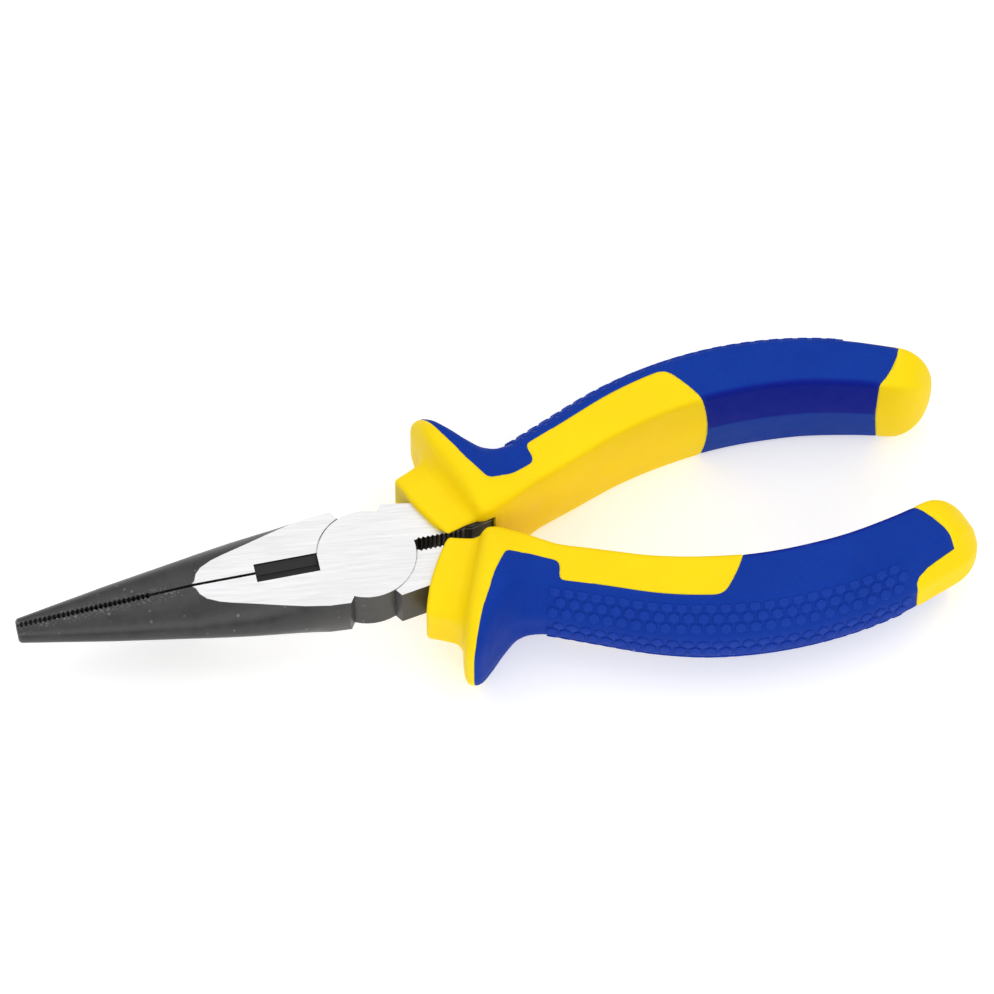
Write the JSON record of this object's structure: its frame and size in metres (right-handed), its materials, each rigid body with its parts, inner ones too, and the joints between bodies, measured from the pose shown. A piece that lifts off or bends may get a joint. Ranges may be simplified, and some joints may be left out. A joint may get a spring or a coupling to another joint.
{
  "type": "needle nose pliers",
  "caption": "Long nose pliers with serrated tapering jaws, a side cutter, a flush riveted lap joint and two colour moulded grips with guards.",
  "frame": {"origin": "on the pivot axis, at the rear ground face of the joint", "axes": "+X from the pivot towards the grips, so the tips point along -X; +Y towards the upper grip; +Z out of the front face"},
  "size_m": [0.1625, 0.0566, 0.0214],
  "materials": {
    "steel": "ground bright on the faces, blackened elsewhere",
    "rivet_steel": "ground flush and bright",
    "yellow_plastic": "satin moulded",
    "blue_rubber": "soft satin"
  },
  "bodies": {
    "front_half": {"front_lever": "steel", "pivot_rivet": "rivet_steel", "upper_grip_core": "yellow_plastic", "upper_grip_cover": "blue_rubber", "upper_end_cap": "yellow_plastic"},
    "rear_half": {"rear_lever": "steel", "lower_grip_core": "yellow_plastic", "lower_grip_cover": "blue_rubber", "lower_end_cap": "yellow_plastic"}
  },
  "joints": [
    {"name": "pivot", "type": "hinge", "parent": "front_half", "child": "rear_half", "pos_m": [0, 0, 0], "axis": [0, 0, -1], "range_deg": [0, 45]}
  ]
}
